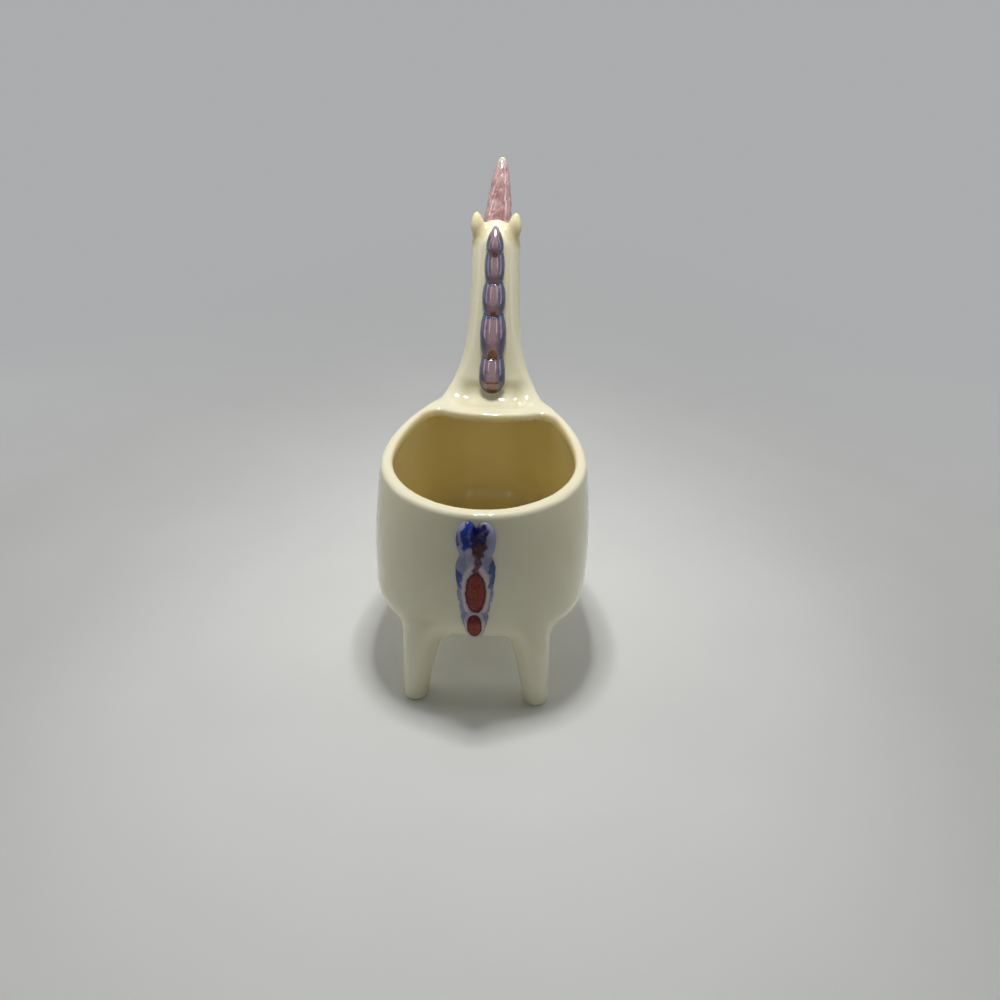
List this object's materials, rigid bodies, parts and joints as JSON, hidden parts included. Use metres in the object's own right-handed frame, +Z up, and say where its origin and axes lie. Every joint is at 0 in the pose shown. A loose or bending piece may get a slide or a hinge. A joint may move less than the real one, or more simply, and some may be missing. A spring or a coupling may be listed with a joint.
{
  "type": "animal planter",
  "caption": "Unicorn-shaped glazed ceramic planter on legs: oval pot with a sloping bean-shaped mouth, slender neck, fluted horn, beaded mane and plaited tail.",
  "frame": {"origin": "middle of the footprint, on the surface it stands on", "axes": "+Z up, -Y the way the animal faces, +X to the animal's left"},
  "size_m": [0.098, 0.1574, 0.2188],
  "materials": {
    "cream_glaze": "gloss",
    "pink_lustre": "gloss",
    "blue_copper_lustre": "gloss",
    "painted_glaze": "gloss"
  },
  "bodies": {
    "root": {"pot": "cream_glaze", "neck": "cream_glaze", "head": "cream_glaze", "ear_left": "cream_glaze", "ear_right": "cream_glaze", "leg_rear_left": "cream_glaze", "leg_rear_right": "cream_glaze", "leg_front_left": "cream_glaze", "leg_front_right": "cream_glaze", "horn": "pink_lustre", "mane_bead_1": "blue_copper_lustre", "mane_bead_2": "blue_copper_lustre", "mane_bead_3": "blue_copper_lustre", "mane_bead_4": "blue_copper_lustre", "mane_bead_5": "blue_copper_lustre", "tail_knot_left": "painted_glaze", "tail_knot_right": "painted_glaze", "tail_middle": "painted_glaze", "tail_end": "painted_glaze"}
  },
  "joints": []
}
